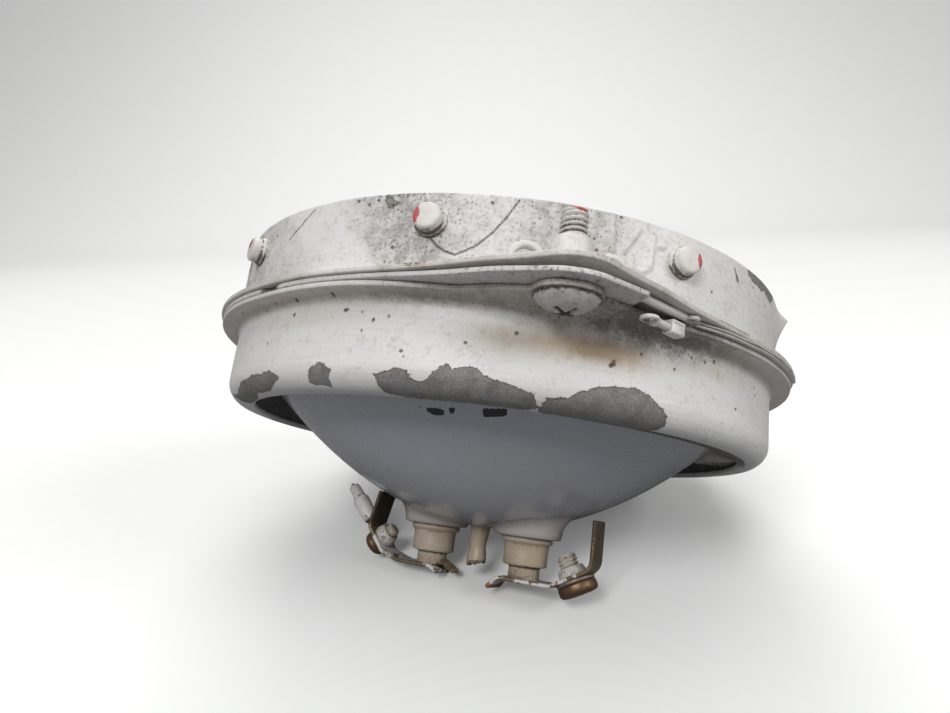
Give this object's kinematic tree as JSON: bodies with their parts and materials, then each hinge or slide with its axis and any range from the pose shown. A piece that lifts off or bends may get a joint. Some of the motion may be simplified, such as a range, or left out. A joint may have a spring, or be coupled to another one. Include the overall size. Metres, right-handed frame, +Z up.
{
  "type": "aircraft landing light",
  "caption": "Sealed-beam landing light: glass lamp clamped between a riveted mounting ring and a rear ring, with screw terminals, lying tilted on its terminals and rear lip.",
  "frame": {"origin": "centre of the bounding box's base: the table plane that the two terminal strips and the rear lip touch", "axes": "+Z up from the table; the optical axis leans back from +Z towards +Y and to the left, as in the picture; +X is the picture's right"},
  "size_m": [0.1326, 0.1258, 0.0864],
  "materials": {
    "ring_paint": "hand-brushed off-white paint, dirty, chipped and crazed",
    "rivet_paint": "off-white paint with bare and red patches",
    "dull_alloy": "dull, dusty and oxidised",
    "rubber": "aged matt rubber",
    "plated_steel": "dull plating with paint splashes and rust",
    "clear_glass": "clear moulded glass",
    "bowl_glass": "silvered glass seen from outside, dusty",
    "mirror_coat": "bright vacuum coating",
    "tungsten": "dull grey wire",
    "ferrule_cream": "cream paint over metal, dirty",
    "strip_brass": "tarnished brass with paint marks",
    "screw_steel": "dull and stained",
    "screw_brown": "brown tarnish",
    "wire_white": "white insulation, cut off"
  },
  "bodies": {
    "lamp": {"mounting_ring": "ring_paint", "seat_ring": "dull_alloy", "band_rivets": "rivet_paint", "front_gasket": "rubber", "anchor_nuts": "plated_steel", "anchor_rivets": "plated_steel", "ring_screws": "plated_steel", "clamp_ring": "dull_alloy", "edge_strap": "ring_paint", "lamp_ring": "ring_paint", "cushion": "rubber", "lens": "clear_glass", "glass_bowl": "bowl_glass", "reflector": "mirror_coat", "filament": "tungsten", "lead_posts": "plated_steel", "left_ferrule": "ferrule_cream", "right_ferrule": "ferrule_cream", "exhaust_tip": "ferrule_cream", "left_strip": "strip_brass", "right_strip": "strip_brass", "left_nut": "strip_brass", "right_nut": "strip_brass", "left_washer": "screw_steel", "right_washer": "screw_steel", "wire_stub": "wire_white", "braid_stub": "strip_brass", "latch_knuckle": "ring_paint"},
    "left_screw": {"left_screw": "screw_brown"},
    "right_screw": {"right_screw": "screw_brown"},
    "latch_pin": {"latch_pin": "ring_paint"}
  },
  "joints": [
    {"name": "left_screw_turn", "type": "hinge", "parent": "lamp", "child": "left_screw", "pos_m": [-0.0261, -0.00682, 0.00521], "axis": [-0.7887, 0.0005, -0.6148], "range_deg": [0, 270]},
    {"name": "right_screw_turn", "type": "hinge", "parent": "lamp", "child": "right_screw", "pos_m": [0.01779, -0.02768, 0.00717], "axis": [0.2967, -0.6191, -0.7271], "range_deg": [0, 270]},
    {"name": "latch_pin_pull", "type": "slide", "parent": "lamp", "child": "latch_pin", "axis": [-0.7151, -0.5502, 0.4312], "range_m": [0, 0.0028]}
  ]
}
